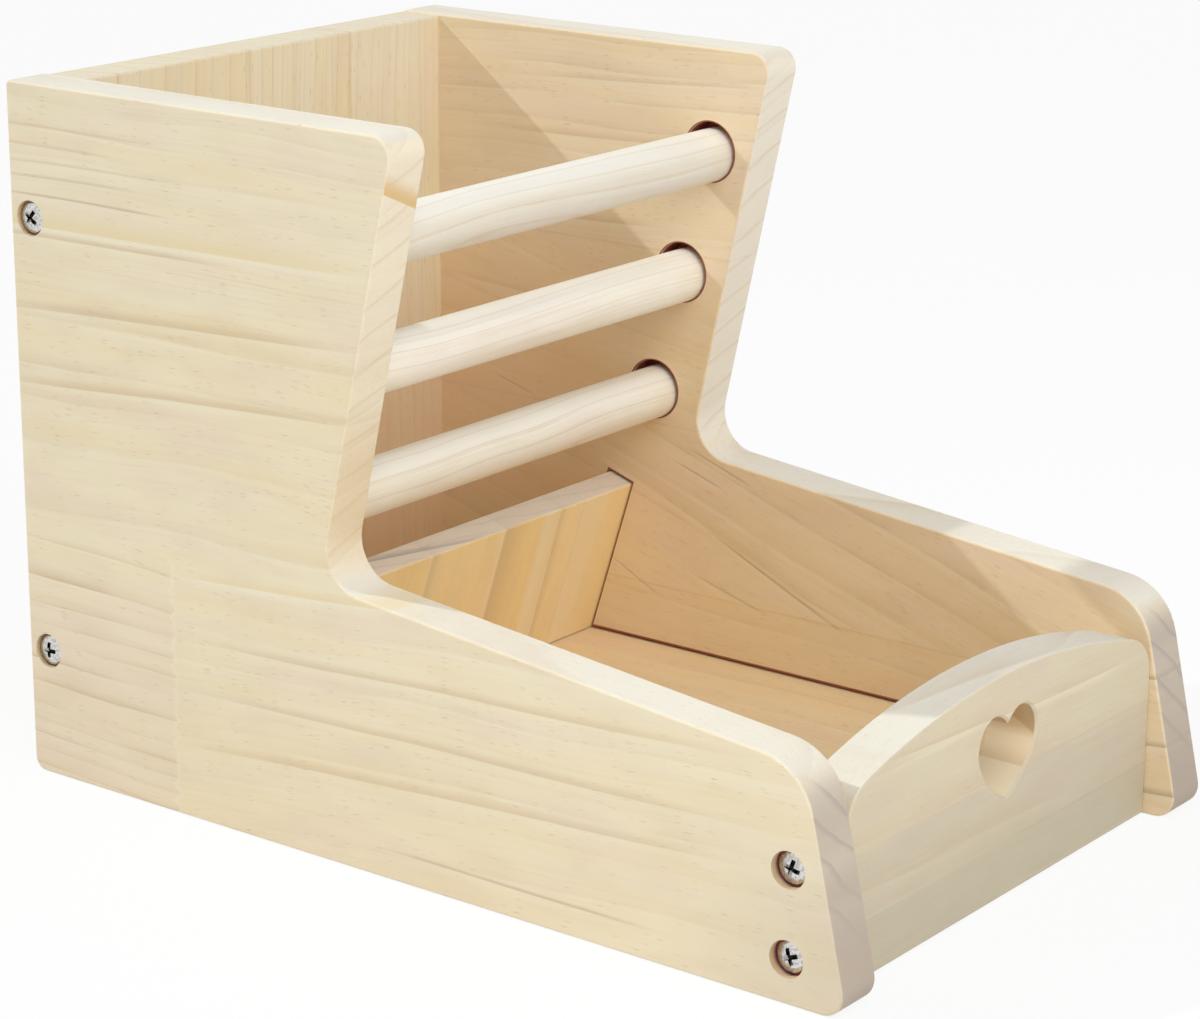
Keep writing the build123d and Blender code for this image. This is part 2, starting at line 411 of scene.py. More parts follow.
RIGHT_MARKS = [
    ((60.0, 68.0), (150.0, 31.5), 7.0, 0.30, "line"),
    ((104.0, 49.5), (154.0, 27.0), 1.3, 0.55, "duct"),
    ((101.0, 35.4), (129.0, 27.8), 0.8, 0.40, "duct"),
    ((72.0, 36.0), (92.0, 26.2), 0.8, 0.40, "duct"),
    ((94.0, 66.8), (113.0, 60.7), 0.8, 0.50, "duct"),
    ((98.0, 71.6), (123.0, 63.1), 0.8, 0.50, "duct"),
    ((31.0, 81.5), (48.0, 76.5), 0.8, 0.50, "duct"),
    ((222.0, 34.0), (262.0, 38.0), 1.8, 0.55, "duct"),
    ((222.0, 16.5), (262.0, 20.5), 1.8, 0.55, "duct"),
    ((222.0, 4.5), (262.0, 7.5), 2.4, 0.60, "duct"),
    ((40.0, 166.0), (128.0, 171.5), 2.0, 0.40, "line"),
    ((30.0, 150.0), (118.0, 154.0), 2.4, 0.40, "line"),
    ((20.0, 128.0), (96.0, 131.0), 2.4, 0.40, "line"),
    ((10.0, 108.0), (90.0, 104.0), 2.4, 0.40, "line"),
]
FRONT_MARKS = [
    ((-60.0, 50.6), (26.0, 44.3), 1.6, 0.40, "line"),
    ((0.0, 45.6), (56.0, 44.2), 1.4, 0.40, "line"),
    ((-100.0, 30.8), (100.0, 30.8), 6.0, 0.12, "line"),
    ((-100.0, 16.0), (100.0, 13.0), 5.0, 0.15, "line"),
]
HAY_MARKS = [
    ((-30.0, 13.0), (110.0, 14.8), 14.0, 0.50, "line"),
    ((-30.0, 31.2), (110.0, 33.0), 8.0, 0.50, "cream"),
    ((-30.0, 37.0), (110.0, 38.8), 4.0, 0.40, "line"),
    ((-30.0, 47.4), (110.0, 49.0), 20.0, 0.35, "cream"),
    ((-30.0, -17.4), (110.0, -14.6), 5.0, 0.40, "line"),
]

# How a board is cut. place(x, y, z) gives (along, across, deep) in millimetres: along the grain,
# across the staves, and through the thickness. grain and thin are the axes of the grain and of
# the thickness, and edged is 1 where the narrow faces are paler.
Lay = namedtuple("Lay", "place grain thin edged", defaults=(1.0,))
BACK_LAY = Lay(lambda x, y, z: (z, x, y), grain=2, thin=1)
FRONT_LAY = Lay(lambda x, y, z: (x, z, y), grain=0, thin=1)
FLOOR_LAY = Lay(lambda x, y, z: (y, x, z), grain=1, thin=2)

SIDE_SLANT = 1.15  # slope of a side's rings through its thickness
SIDE_JOINT = (51.5, 66.0)  # (reach, height of the top) of the end-to-end joint in the left side


def side_lay(face):
    """The lay of a side board, whose rings slope through its thickness from the face at x = face."""
    return Lay(
        lambda x, y, z: (BACK_FACE - y, z, face - (x - face) * SIDE_SLANT), grain=1, thin=0
    )


def rung_lay(node):
    """The lay of a rung, measured from its own middle line."""
    low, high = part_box(node)
    centre = (low + high) * 0.5 * MM
    return Lay(
        lambda x, y, z: (x, z - centre.z, y - centre.y), grain=0, thin=1, edged=0.0
    )


# ---------------------------------------------------------------------------
# Pine
# ---------------------------------------------------------------------------

# Sizes in the figure, in millimetres.
LEAD = 100.0  # how much of the lowest stave a stave table covers
FINGER = 5.0  # how far the fingers of an end-to-end joint reach
FINGER_WIDTH = 2.2
WANDER = 9.0  # how far the ring lines wander across the grain
WANDER_SIZE = (85.0, 55.0, 40.0)  # the (along, across, deep) over which they wander
MARK_WANDER = 3.0  # how far the single ring lines wander
UNEVEN_SIZE = 24.0  # the width over which the spacing of the rings changes
VEIN = (60.0, 1.1)  # (length, width) of a vein
DUCT_WIDTH = 0.75
FLECK = (4.5, 0.7)  # (length, width) of the wood that may hold one fleck
GLUE_LINE = (0.45, 0.1)  # distances from a glue line where it starts and is full
SEAM = (1.1, 0.2)  # the same for the end-to-end joint

# Plain numbers in the figure.
SPACING_WEIGHT = 31.7  # these two weights make the number that tells one stave from another
SLOPE_WEIGHT = 17.3
JOINED_CROWD = 0.64  # how much closer the rings lie behind the end-to-end joint
JOINED_SLOPE = 0.075  # and how much more they fall toward the front there
UNEVENNESS = 1.6  # rings by which the lines stray from an even spacing
FIRST_RING = 9.0  # rings by which one stave may be ahead of another
FAINTEST_RING = 0.25  # strength of the faintest ring line, where the boldest is 1
TAPER = 0.3  # share of a single ring line over which each of its ends fades

# How strongly each part of the figure shows, from 0 to 1.
SHARE = {
    "warm": 0.8,
    "blush": 0.5,
    "joined": 0.4,
    "seam": 0.3,
    "narrow": 0.85,
    "end_cut": 0.6,
    "late": 0.6,
    "fresh": 0.4,
    "vein": 0.13,
    "pale_fibre": 0.2,
    "dark_fibre": 0.22,
    "cloud": 0.1,
    "fleck": 0.3,
    "duct": 0.5,
    "glue": 0.14,
    "mark_foot": 0.6,
}


class Wood:
    """The wood of one board. Its figure fills the solid, so that faces, edges and end grain agree.
    Lengths are in millimetres."""

    def __init__(self, sheet, lay, seed):
        self.sheet = sheet
        self.look = bpy.context.scene.feeder_pine
        self.seed = seed
        place = sheet.node("ShaderNodeTexCoord", None, None, "Object")
        facing = sheet.split(sheet.outputs_of(place, "Normal")[0])
        self.x, y, self.z = [c * MM for c in sheet.split(place)]
        self.along, self.across, self.deep = lay.place(self.x, y, self.z)
        self.end_cut = abs(facing[lay.grain]).rise(0.6, 0.9)
        self.narrow = abs(facing[lay.thin]).rise(0.75, 0.4) * (1.0 - self.end_cut) * lay.edged

    def blotches(self, length, width, shift, detail=2.0):
        """Soft blotches, from 0 to 1, of a length along the grain and a width across it."""
        place = self.sheet.vector(self.along / length, self.across / width, self.seed + shift)
        return self.sheet.noise(place, 1.0, detail)

    def patchy(self, even, cloudy):
        """A share that is even at least, and grows by cloudy in the cloudiest wood."""
        return even + self.cloud * cloudy

    def ring_lines(self, level, spacing, waver, start):
        """Lines where level passes a multiple of spacing. They darken from start, a share of the
        spacing, and waver with the clouds in the wood."""
        return (level / spacing + self.cloud * waver).fraction().rise(start, 1.0)

    def lay_rings(self, staves, lines, lean, glued, joint):
        """The ring lines: late is their dark wood, and fresh the pale wood that borders it."""
        sheet, seed, along, across = self.sheet, self.seed, self.along, self.across
        low = staves[0][0] - LEAD
        spacing, slope, self.warmth = sheet.table(across, low, staves[-1][0], staves, glued)
        row = seed
        if glued:
            row = spacing * SPACING_WEIGHT + slope * SLOPE_WEIGHT + seed
        dense = 0.0
        if joint:
            reach, top = joint
            edge = sheet.noise(sheet.vector(across / FINGER_WIDTH, seed, 0.0), 1.0, 1.0)
            before = reach + FINGER / 2 - edge * FINGER - along
            dense = (before > 0.0) * (across < top)
            spacing = spacing * (1.0 - dense * JOINED_CROWD)
            slope = slope - dense * JOINED_SLOPE
            self.joined = dense * across.rise(top, 44.0)
            self.seam = abs(before).rise(*SEAM) * (across < top)
            dense = dense * across.rise(top, 56.0)
        spacing = spacing * RING_SCALE

        length, width, depth = WANDER_SIZE
        self.wander = sheet.noise(
            sheet.vector(along / length + seed, across / width, self.deep / depth), 1.0, 1.0
        )
        flow = across - along * (slope - LEVEL) + (self.wander - 0.5) * WANDER + self.deep * lean
        uneven = sheet.noise(sheet.vector(flow / UNEVEN_SIZE, row, seed), 1.0, 1.0)
        rings = flow / spacing + (uneven - 0.5) * UNEVENNESS + sheet.chance(row) * FIRST_RING
        part = rings.fraction()
        number = math.floor(rings) + row
        bold = FAINTEST_RING + sheet.chance(number) * (1.0 - FAINTEST_RING)
        bold = bold * self.blotches(45.0, 9.0, 4.0).rise(0.25, 0.7)
        self.flow = flow
        self.late = (1.0 - part) ** 5.0 * part.rise(0.0, 0.05) * bold * (lines + dense * 1.3)
        self.fresh = part.rise(0.9, 0.99) * bold

    def lay_fibres(self):
        """Fine streaks and veins along the grain, dark resin ducts and shorter flecks."""
        sheet, look, seed = self.sheet, self.look, self.seed
        along, flow, deep = self.along, self.flow, self.deep
        length = look.fibre_length * MM
        width = look.fibre_width * MM
        duct_length = look.duct_length * MM
        vein_length, vein_width = VEIN
        fleck_length, fleck_width = FLECK
        self.fibre = sheet.noise(sheet.vector(along / length, flow / width, deep / width), 1.0, 3.0, 0.6)
        self.vein = sheet.noise(
            sheet.vector(along / vein_length, flow / vein_width, deep / vein_width + seed), 1.0, 2.0
        )
        crowd = self.blotches(50.0, 14.0, 9.0, 1.0)
        ducts = sheet.vector(along / duct_length + seed, flow / DUCT_WIDTH, deep / DUCT_WIDTH)
        self.duct = sheet.spots(ducts, 0.2, 1.06 - crowd * 0.34)
        flecks = sheet.vector(along / fleck_length, flow / fleck_width + seed, deep / fleck_width)
        self.fleck = sheet.spots(flecks, 0.34, 1.3 - crowd * 1.1)

    def lay_tints(self):
        """Warm bands, rose blushes and grey clouds in the wood."""
        sheet, seed = self.sheet, self.seed
        tint = sheet.noise(sheet.vector(self.along / 90.0, self.flow / 7.0, seed + 2.0), 1.0, 2.0)
        self.warm = (self.warmth * 1.3 + tint * 1.6 - 0.95).rise(0.0, 1.0)
        self.blush = self.blotches(40.0, 14.0, 6.0).rise(0.45, 0.72)
        self.cloud = self.blotches(22.0, 8.0, 14.0, 3.0)

    def base_layers(self, joint):
        """The (share, colour) layers of the plain wood."""
        look = self.look
        layers = [(self.warm * SHARE["warm"], look.warm), (self.blush * SHARE["blush"], look.rose)]
        if joint:
            layers.append((self.joined * SHARE["joined"], look.rose))
            layers.append((self.seam * SHARE["seam"], look.cream))
        return layers

    def figure_layers(self, lines, flecks):
        """The (share, colour) layers of the cut faces and of the figure."""
        look = self.look
        return [
            (self.narrow * SHARE["narrow"], look.sanded),
            (self.end_cut * SHARE["end_cut"], look.end),
            (self.late * SHARE["late"], look.line),
            (self.fresh * SHARE["fresh"], look.cream),
            (self.vein.rise(0.52, 0.72) * SHARE["vein"] * lines, look.line),
            (self.fibre.rise(0.5, 0.2) * SHARE["pale_fibre"], look.sanded),
            (self.fibre.rise(0.54, 0.8) * SHARE["dark_fibre"], look.line),
            (self.cloud.rise(0.4, 0.7) * SHARE["cloud"], look.line),
            (self.fleck * SHARE["fleck"] * flecks, look.duct),
            (self.duct * SHARE["duct"] * flecks, look.duct),
        ]

    def glue_layers(self, staves):
        """Thin dark lines where the staves are glued together."""
        return [
            (abs(self.across - limit).rise(*GLUE_LINE) * SHARE["glue"], self.look.duct)
            for limit, _ in staves[:-1]
        ]

    def mark_layers(self, marks):
        """Single ring lines, each with pale wood below it."""
        layers = []
        for start, end, width, strength, tint in marks:
            length = end[0] - start[0]
            incline = (end[1] - start[1]) / length
            foot = start[1] - start[0] * incline
            above = self.across - self.along * incline - foot + (self.wander - 0.5) * MARK_WANDER
            shown = self.along.rise(start[0], start[0] + length * TAPER)
            shown = shown * self.along.rise(end[0], end[0] - length * TAPER)
            dark = above.rise(-0.25, 0.1) * above.rise(width, 0.0) * shown
            pale = above.rise(-2.6, -0.5) * above.rise(0.0, -0.3) * shown
            layers.append((pale * strength * SHARE["mark_foot"], self.look.cream))
            layers.append((dark * strength, getattr(self.look, tint)))
        return layers


def dress(node, material):
    """Gives a node of the frame its finish."""
    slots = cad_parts[node].material_slots
    if not slots:
        raise RuntimeError(f"{node} has no material slot")
    for one in slots:
        one.material = material


def pine(node, lay, staves, seed, tone=(1.0, 1.0, 1.0), lines=1.0, flecks=1.0, gloss=0.0,
         lean=0.35, glued=True, joint=None, marks=(), overlays=None):
    """Gives a node its own bare pine.

    tone colours the wide faces, and lines and flecks are the strengths of the figure. lean slants
    the rings through the thickness. Staves that aren't glued run into each other. joint is (along,
    across limit) where the lowest staves are joined end to end. marks are single ring lines, and
    stains(wood) returns the (share, colour) layers of what lies over the wood."""
    material = bpy.data.materials.new(f"pine_{node}")
    sheet = Sheet(material)
    wood = Wood(sheet, lay, seed)
    look = wood.look
    wood.lay_rings(staves, lines, lean, glued, joint)
    wood.lay_fibres()
    wood.lay_tints()
    shade = sheet.cover(look.pale, wood.base_layers(joint))
    shade = sheet.mix(1.0, shade, tone, "MULTIPLY")
    shade = sheet.cover(shade, wood.figure_layers(lines, flecks))
    if glued:
        shade = sheet.cover(shade, wood.glue_layers(staves))
    shade = sheet.cover(shade, wood.mark_layers(marks))
    if overlays:
        shade = sheet.cover(shade, overlays(wood))

    height = wood.fibre * 0.35 - wood.late * 0.5 - wood.duct * 0.8
    surface = sheet.node(
        "ShaderNodeBsdfPrincipled",
        None,
        {
            "Base Color": shade,
            "Roughness": look.roughness - gloss + (wood.fibre - 0.5) * 0.18 + wood.end_cut * 0.15,
            "Specular IOR Level": 0.35,
            "Normal": sheet.bump(0.6, look.relief, height),
        },
    )
    sheet.finish(surface)
    dress(node, material)


# ---------------------------------------------------------------------------
# Stains, painted shade and painted light: what lies over the wood of each piece
# ---------------------------------------------------------------------------

# Where the sides are cut, in millimetres.
HOLE_LIFT = 0.95  # the middle of a rung's hole lies this far above the middle of the rung
HOLE_RADIUS = 8.3  # of the painted gap shadow round a hole, just over the hole's own
HOLE_WALL_RADIUS = 8.4
BORE_RADIUS = 4.8  # round a screw head
CUT_DEPTH = 8.4  # nothing is cut deeper than this from the inner face
# The painted gap shadow lies only this close to the inner face.
GAP_SHADOW_DEPTH = 0.3
HAY_FOOT = (66.8, 13.2)  # (reach, height) of the foot of the hay board's front face
HAY_LEAN = math.radians(17.5)  # the hay board leans forward
HAY_GROOVE_UP = (-0.5, 47.2)  # limits of its groove, up the lean from the foot
HAY_GROOVE_ASIDE = (-8.65, 0.65)  # and forward of the board's front face
TRENCH_REACH = (12.5, 230.5)  # limits of the floor board's groove
TRENCH_BELOW = 0.4  # how far it is coloured under the floor board
TRENCH_ABOVE = 1.2  # and over it
GAP_SHADOW_FRONT = 230.0  # the reach where the painted shadow of the gap over the floor board ends
GAP_SHADOW_ABOVE = 0.95  # the height of its middle over the floor board


def within(wood, discs):
    """1 inside any of the discs, each (along, across, radius)."""
    share = 0.0
    for reach, height, radius in discs:
        away = wood.sheet.vector(wood.along - reach, wood.across - height, 0.0)
        length = wood.sheet.node("ShaderNodeVectorMath", {"operation": "LENGTH"}, {0: away}, "Value")
        share = (length < radius) + share
    return share


def disc_round(node, lift, radius):
    """The disc (along, across, radius) round the middle of a rung or screw."""
    low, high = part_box(node)
    middle = (low + high) * 0.5 * MM
    return (BACK_FACE - middle.y, middle.z + lift, radius)


def between(value, limits):
    """1 where value lies between the two limits."""
    return (value > limits[0]) * (value < limits[1])


def side_cut_shade(wood):
    """Painted shade in the cuts of a side board: amber shade on the walls round the screw heads,
    reddish shade that deepens into the rung holes, grooves and screw holes, and dark red painted
    shadow along the gaps on the inner face."""
    along, across = wood.along, wood.across
    outer_corner, inner_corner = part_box("left_side")
    from_inside = abs(wood.x) + inner_corner.x * MM
    from_outside = -outer_corner.x * MM - abs(wood.x)
    sine, cosine = math.sin(HAY_LEAN), math.cos(HAY_LEAN)
    up = (along - HAY_FOOT[0]) * sine + (across - HAY_FOOT[1]) * cosine
    aside = (along - HAY_FOOT[0]) * cosine - (across - HAY_FOOT[1]) * sine
    groove = between(up, HAY_GROOVE_UP) * between(aside, HAY_GROOVE_ASIDE)
    floor_low, floor_high = [corner.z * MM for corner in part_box("floor_board")]
    trench = between(across, (floor_low - TRENCH_BELOW, floor_high + TRENCH_ABOVE))
    trench = trench * between(along, TRENCH_REACH)
    holes = within(wood, [disc_round(node, HOLE_LIFT, HOLE_WALL_RADIUS) for node in RUNGS])
    rims = within(wood, [disc_round(node, HOLE_LIFT, HOLE_RADIUS) for node in RUNGS])
    bores = within(wood, [disc_round(node, 0.0, BORE_RADIUS) for node in SCREWS[:4]])

    # Painted shade deepens into the cuts, and painted shadow lines the gaps on the inner face.
    inside = (holes + groove + trench) * from_inside.rise(0.1, 1.6) * (from_inside < CUT_DEPTH)
    wall_shade = (inside + bores * from_outside.rise(0.9, 2.8) * 0.8).rise(0.0, 1.0)
    gap_shadow_line = abs(across - floor_high - GAP_SHADOW_ABOVE).rise(0.55, 0.4) * trench * (along < GAP_SHADOW_FRONT)
    gap_shadow = (gap_shadow_line + rims + groove).rise(0.0, 1.0) * (from_inside < GAP_SHADOW_DEPTH)
    bore_rim_shade = bores * from_outside.rise(2.4, 0.8) * from_outside.rise(0.1, 0.3)
    return [
        (bore_rim_shade * 0.8, wood.look.amber_and_bore_shade),
        (wall_shade * 0.92, wood.look.painted_recess_shade),
        (gap_shadow * 0.88, wood.look.painted_gap_shadow),
    ]


# Where the stains, painted shade and painted light lie, in millimetres. A pair is where each starts and
# where it is full.
TOE_BACK = 200.0
TOE_TOP = (62.0, 46.0)
TOE_FOOT = (34.0, 4.0)
TOE_RING_SLANT = 0.95  # height that a ring line on a toe falls for each millimetre to the right
RACK_RINGS_FOOT = (66.0, 80.0)
RACK_PALE_FOOT = (60.0, 75.0)
SLIVER_SLANT = 0.43  # height that the amber sliver falls for each millimetre to the right
SLIVER_FOOT = (166.5, 167.0)
SLIVER_TOP = (173.0, 167.5)
THROAT_FOOT = (72.0, 84.0)
THROAT_TOP = (118.0, 98.0)
TOE_SHADE_BACK = (196.0, 246.0)
TOE_SHADE_TOP = (50.0, 10.0)
WARM_SHADE_FRONT = (110.0, 60.0)
WARM_SHADE_TOP = (140.0, 100.0)
WARM_SHADE_FOOT = (30.0, 60.0)
WARM_SHADE_SIDE = (76.0, 70.0)  # only the inner face of the right side gets the painted warm shade
LEFT_FOOT_SHADE_TOP = 70.0
RIGHT_FOOT_SHADE_TOP = 50.0
HEART_TOP = 50.0
HEART_HALF_WIDTH = 18.0
HEART_LOBE_SHADE = (36.0, 39.0)
HEART_SHADE_START = (30.5, 30.9)  # where the painted shade on the heart's wall starts, at the glue line
LOW_STAVE = (31.1, 30.6)  # where the greyer stave of the front panel starts
FOOT_STAVE = (14.8, 14.2)
FRONT_LEFT_END = (-20.0, -66.0)
FRONT_LEFT_FOOT = (12.0, 30.0)
BACK_INNER_FACE = (118.0, 114.0)
BACK_WARM_SHADE_TOP = (120.0, 50.0)
RUNG_TOP_LIGHT = (1.5, 5.5)  # where the painted light on top starts and is full, above the rung's middle


def foot_shade(wood, top):
    """Painted shade: slight darkening toward the feet, from the height top down."""
    return (wood.z.rise(top, 0.0) * wood.patchy(0.12, 0.1), wood.look.line)


def toe_end_shade_and_rings(wood):
    """Painted shade on the end grain of the toes, darker at the foot, with slanting ring lines."""
    slant = wood.z + wood.x * TOE_RING_SLANT
    rings = wood.ring_lines(slant, spacing=9.5, waver=0.5, start=0.72)
    share = wood.end_cut * wood.z.rise(*TOE_TOP) * (wood.along > TOE_BACK)
    low = wood.z.rise(*TOE_FOOT)
    return (share * (wood.patchy(0.58, 0.4) + rings * 0.3 + low * 0.26), wood.look.grey_wood_and_shade)


def rack_ends(wood):
    """Ring lines across the end grain of the rack's front edge."""
    rings = wood.ring_lines(wood.flow, spacing=9.5, waver=0.4, start=0.8)
    return (wood.end_cut * wood.z.rise(*RACK_RINGS_FOOT) * rings * 0.3, wood.look.line)


def left_stains_and_shade(wood):
    """The left side: amber end grain by the top rung and over the throat, and painted shade on the toe,
    toward the feet and in its cuts.
    """
    slant = wood.z + (wood.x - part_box("left_side")[0].x * MM) * SLIVER_SLANT
    sliver = wood.end_cut * slant.rise(*SLIVER_FOOT) * slant.rise(*SLIVER_TOP)
    throat = wood.end_cut * wood.z.rise(*THROAT_TOP) * wood.z.rise(*THROAT_FOOT)
    # Painted shade on the lower front of the toe.
    toe_shade = wood.along.rise(*TOE_SHADE_BACK) * wood.z.rise(*TOE_SHADE_TOP)
    return [
        rack_ends(wood),
        (throat * 0.35, wood.look.amber_and_bore_shade),
        (sliver, wood.look.amber_and_bore_shade),
        toe_end_shade_and_rings(wood),
        (toe_shade * 0.3, wood.look.grey_wood_and_shade),
        foot_shade(wood, LEFT_FOOT_SHADE_TOP),
        *side_cut_shade(wood),
    ]


def right_stains_and_shade(wood):
    """The right side: painted warm shade on its inner face behind the rungs, a pale rack edge, and
    painted shade on the toe, feet and cuts.
    """
    rack = wood.end_cut * wood.z.rise(*RACK_PALE_FOOT)
    inner = wood.along.rise(*WARM_SHADE_FRONT) * wood.z.rise(*WARM_SHADE_TOP) * wood.z.rise(*WARM_SHADE_FOOT)
    inner = inner * wood.x.rise(*WARM_SHADE_SIDE)
    return [
        # Painted warm shade on the inner face behind the rungs.
        (inner * 0.35, wood.look.warm_shade),
        (rack * 0.5, wood.look.sanded),
        rack_ends(wood),
        toe_end_shade_and_rings(wood),
        foot_shade(wood, RIGHT_FOOT_SHADE_TOP),
        *side_cut_shade(wood),
    ]


def front_stains_and_shade(wood):
    """The front panel: painted shade that darkens it toward the foot, greyer bands low down, and painted
    shade on the upper wall of the heart.
    """
    wall = (wood.narrow + wood.end_cut).rise(0.0, 1.0)
    wall = wall * (wood.z < HEART_TOP) * (abs(wood.x) < HEART_HALF_WIDTH)
    lobe_shade = wood.z.rise(*HEART_LOBE_SHADE)
    above = wood.z.rise(*HEART_SHADE_START)
    left_end = wood.x.rise(*FRONT_LEFT_END) * wood.z.rise(*FRONT_LEFT_FOOT)
    return [
        # Painted shade: the front panel darkens toward its foot.
        (wood.z.rise(HEART_TOP, 0.0) * wood.patchy(0.10, 0.14), wood.look.grey_green_and_shade),
        (wood.z.rise(*LOW_STAVE) * wood.patchy(0.18, 0.1), wood.look.grey_wood_and_shade),
        (wood.z.rise(*FOOT_STAVE) * 0.24, wood.look.grey_green_and_shade),
        (wall, wood.look.pale),
        # Painted shade on the heart's wall above the glue line, deepest on the overhanging lobes.
        (wall * above * (0.54 + lobe_shade * 0.42), wood.look.line),
        (left_end * 0.12, wood.look.grey_wood_and_shade),
    ]


def hay_stains(wood):
    """The hay board: a lilac-grey top edge with ring lines slanting across it."""
    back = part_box("hay_board")[0].y * MM
    slant = wood.deep + (wood.x + 45.0) * 0.16 - (back + 7.5)
    line = slant.rise(-0.3, 0.0) * slant.rise(2.2, 0.0) * wood.x.rise(25.0, -20.0)
    faint = wood.ring_lines(slant, spacing=4.6, waver=1.0, start=0.7)
    return [
        (wood.end_cut * 0.7, wood.look.lilac),
        (wood.end_cut * (line * 0.7 + faint * 0.18), wood.look.grey_wood_and_shade),
    ]


def back_warm_shade(wood):
    """The back panel: painted warm shade toward the foot on its inner face."""
    inner = wood.deep.rise(*BACK_INNER_FACE) * wood.z.rise(*BACK_WARM_SHADE_TOP)
    return [(inner * wood.patchy(0.25, 0.5), wood.look.warm_shade)]


def rung_lines_and_top_light(wood):
    """A rung: thin brown ring lines, and painted light along its top."""
    line = wood.ring_lines(wood.flow, spacing=4.6, waver=0.15, start=0.84)
    top = wood.across.rise(*RUNG_TOP_LIGHT) * (1.0 - wood.end_cut)
    # Painted light on the top of the rung.
    return [(top * 0.7, wood.look.painted_top_light), (line * 0.3, wood.look.line)]


# ---------------------------------------------------------------------------
# The pieces
# ---------------------------------------------------------------------------


class FEEDER_OT_side_boards(bpy.types.Operator):
    """Finish the two side boards"""

    bl_idname = "feeder.side_boards"
    bl_label = "Side boards"

    def execute(self, context):
        outer, inner = [corner.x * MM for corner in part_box("left_side")]
        pine(
            "left_side", side_lay(outer), LEFT_STAVES, 3.1, tone=(1.05, 1.04, 1.04), lines=0.6,
            flecks=0.7, glued=False, joint=SIDE_JOINT, marks=LEFT_MARKS, overlays=left_stains_and_shade,
        )
        pine(
            "right_side", side_lay(-inner), RIGHT_STAVES, 11.7, tone=(1.07, 1.0, 0.96), lines=0.8,
            flecks=0.7, marks=RIGHT_MARKS, overlays=right_stains_and_shade,
        )
        return {"FINISHED"}


class FEEDER_OT_end_panels(bpy.types.Operator):
    """Finish the back and front panels"""

    bl_idname = "feeder.end_panels"
    bl_label = "Back and front panels"

    def execute(self, context):
        pine("back_panel", BACK_LAY, BACK_STAVES, 5.2, lines=1.2, overlays=back_warm_shade)
        pine(
            "front_panel", FRONT_LAY, FRONT_STAVES, 8.4, tone=(0.82, 0.81, 0.79), lines=0.9,
            flecks=0.35, marks=FRONT_MARKS, overlays=front_stains_and_shade,
        )
        return {"FINISHED"}


class FEEDER_OT_thin_boards(bpy.types.Operator):
    """Finish the floor board and the hay board"""

    bl_idname = "feeder.thin_boards"
    bl_label = "Floor and hay boards"

    def execute(self, context):
        pine(
            "hay_board", BACK_LAY, HAY_STAVES, 2.6, tone=(1.12, 1.0, 0.74), lines=0.2, flecks=0.4,
            marks=HAY_MARKS, overlays=hay_stains,
        )
        pine("floor_board", FLOOR_LAY, FLOOR_STAVES, 7.9, tone=(1.0, 0.9, 0.8))
        return {"FINISHED"}


class FEEDER_OT_rungs(bpy.types.Operator):
    """Finish the three turning rungs"""

    bl_idname = "feeder.rungs"
    bl_label = "Rungs"

    def execute(self, context):
        tones = ((1.06, 1.12, 1.28), (1.10, 1.17, 1.36), (0.92, 0.965, 1.11))
        for count, (node, tone) in enumerate(zip(RUNGS, tones)):
            staves = [(20.0, (0.19 + 0.03 * count, 0.51, 0.1)), (21.0, (0.2, 0.5, 0.2))]
            pine(
                node, rung_lay(node), staves, 21.0 + 4.3 * count, tone=tone, lines=1.3,
                flecks=0.2, gloss=0.2, lean=0.8, overlays=rung_lines_and_top_light,
            )
        return {"FINISHED"}


class FEEDER_OT_screws(bpy.types.Operator):
    """Finish the eight plated screws"""

    bl_idname = "feeder.screws"
    bl_label = "Screws"

    def execute(self, context):
        look = context.scene.feeder_steel
        material = bpy.data.materials.new("plated_steel")
        sheet = Sheet(material)
        place = sheet.node("ShaderNodeTexCoord", None, None, "Object")
        x, y, z = [c * MM for c in sheet.split(place)]
        facing_x = sheet.split(sheet.outputs_of(place, "Normal")[0])[0]
        # Dark patches of painted reflection; the same noise also varies the roughness and dents the
        # plating.
        smudge_and_reflection = sheet.noise(sheet.vector(x, y, z), 1.4, 3.0)
        scratch = sheet.noise(sheet.vector(x * 2.0, (y + z) * 9.0, (y - z) * 1.2), 1.0, 2.0)
        worn = scratch.rise(0.58, 0.7)
        shade = sheet.mix(smudge_and_reflection.rise(0.4, 0.6) * 0.75 + worn * 0.25, look.plate, look.dark_reflection_and_scratch)
        back_crown, front_crown = [
            -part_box(node)[0].x * MM for node in ("left_back_lower_screw", "left_front_lower_screw")
        ]
        # Painted shade: dark down in the cross and on the steep sides under the head.
        depth = back_crown + (y < 0.0) * (front_crown - back_crown) - abs(x)
        steep = abs(facing_x).rise(0.86, 0.7)
        recess_shade = (depth.rise(0.95, 1.25) + steep).rise(0.0, 0.6)
        surface = sheet.node(
            "ShaderNodeBsdfPrincipled",
            None,
            {
                "Base Color": sheet.mix(recess_shade, shade, look.recess_shade),
                "Metallic": 1.0,
                "Roughness": look.roughness + smudge_and_reflection * 0.12 + worn * 0.1,
                "Normal": sheet.bump(0.3, look.relief, smudge_and_reflection * 0.5 - worn * 0.4),
            },
        )
        sheet.finish(surface)
        for node in SCREWS:
            dress(node, material)
        return {"FINISHED"}


# ---------------------------------------------------------------------------
# The stage
# ---------------------------------------------------------------------------

WHITE = (1.0, 1.0, 1.0, 1.0)
FLOOR_CELLS = 12  # along each side of the floor's mesh

